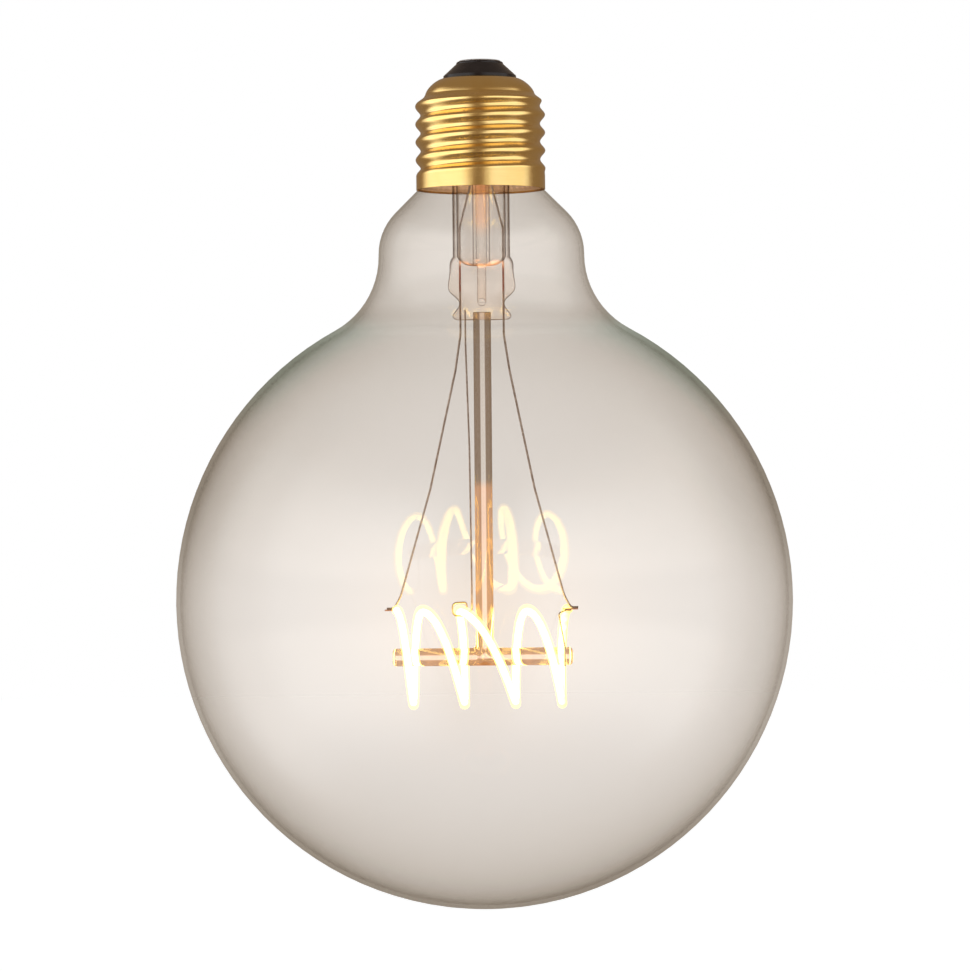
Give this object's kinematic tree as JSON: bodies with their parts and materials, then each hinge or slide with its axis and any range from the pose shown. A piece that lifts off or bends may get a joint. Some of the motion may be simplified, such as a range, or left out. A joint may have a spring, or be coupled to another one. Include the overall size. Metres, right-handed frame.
{
  "type": "led filament globe bulb",
  "caption": "Clear smoky globe bulb with a gold E27 screw cap, a glass stem and one LED filament wound round a glass bar; it hangs cap up and lights in all directions.",
  "frame": {"origin": "centre of the flat outer face of the centre contact, on the bulb's axis", "axes": "+Z along the bulb's axis out of the screw cap, into the lamp holder; X along the filament bar, to the right in the picture; -Y towards the camera of the picture"},
  "size_m": [0.125, 0.125, 0.172],
  "materials": {
    "solder": "dull tinned",
    "black_insulator": "moulded, glossy black",
    "gold_cap": "gold plated, satin",
    "smoky_glass": "clear, with a faint warm smoky coat",
    "cement": "matt",
    "clear_glass": "clear, fire polished",
    "phosphor_filament": "silicone coat with yellow phosphor, lit",
    "copper": "plain copper",
    "lead_wire": "drawn nickel wire, slightly tarnished",
    "seal_wire": "oxidised copper, red brown",
    "board": "solder mask",
    "chip": "moulded, matt",
    "capacitor_sleeve": "shrunk sleeve",
    "resistor_coat": "dipped coat",
    "wire_sleeve": "enamelled"
  },
  "bodies": {
    "root": {"centre_contact": "solder", "insulator": "black_insulator", "screw_shell": "gold_cap", "glass_envelope": "smoky_glass", "cap_cement": "cement", "stem_flare": "clear_glass", "exhaust_tube": "clear_glass", "support_rod": "clear_glass", "cross_rod": "clear_glass", "led_filament": "phosphor_filament", "filament_tab_left": "copper", "filament_tab_right": "copper", "outer_lead_left": "lead_wire", "seal_wire_left": "seal_wire", "inner_lead_left": "lead_wire", "outer_lead_right": "lead_wire", "seal_wire_right": "seal_wire", "inner_lead_right": "lead_wire", "filament_hook": "lead_wire", "end_tie_wire": "lead_wire", "driver_board": "board", "driver_chip": "chip", "rectifier": "chip", "smoothing_capacitor": "capacitor_sleeve", "fuse_resistor": "resistor_coat", "live_wire": "wire_sleeve", "neutral_wire": "copper"}
  },
  "joints": []
}
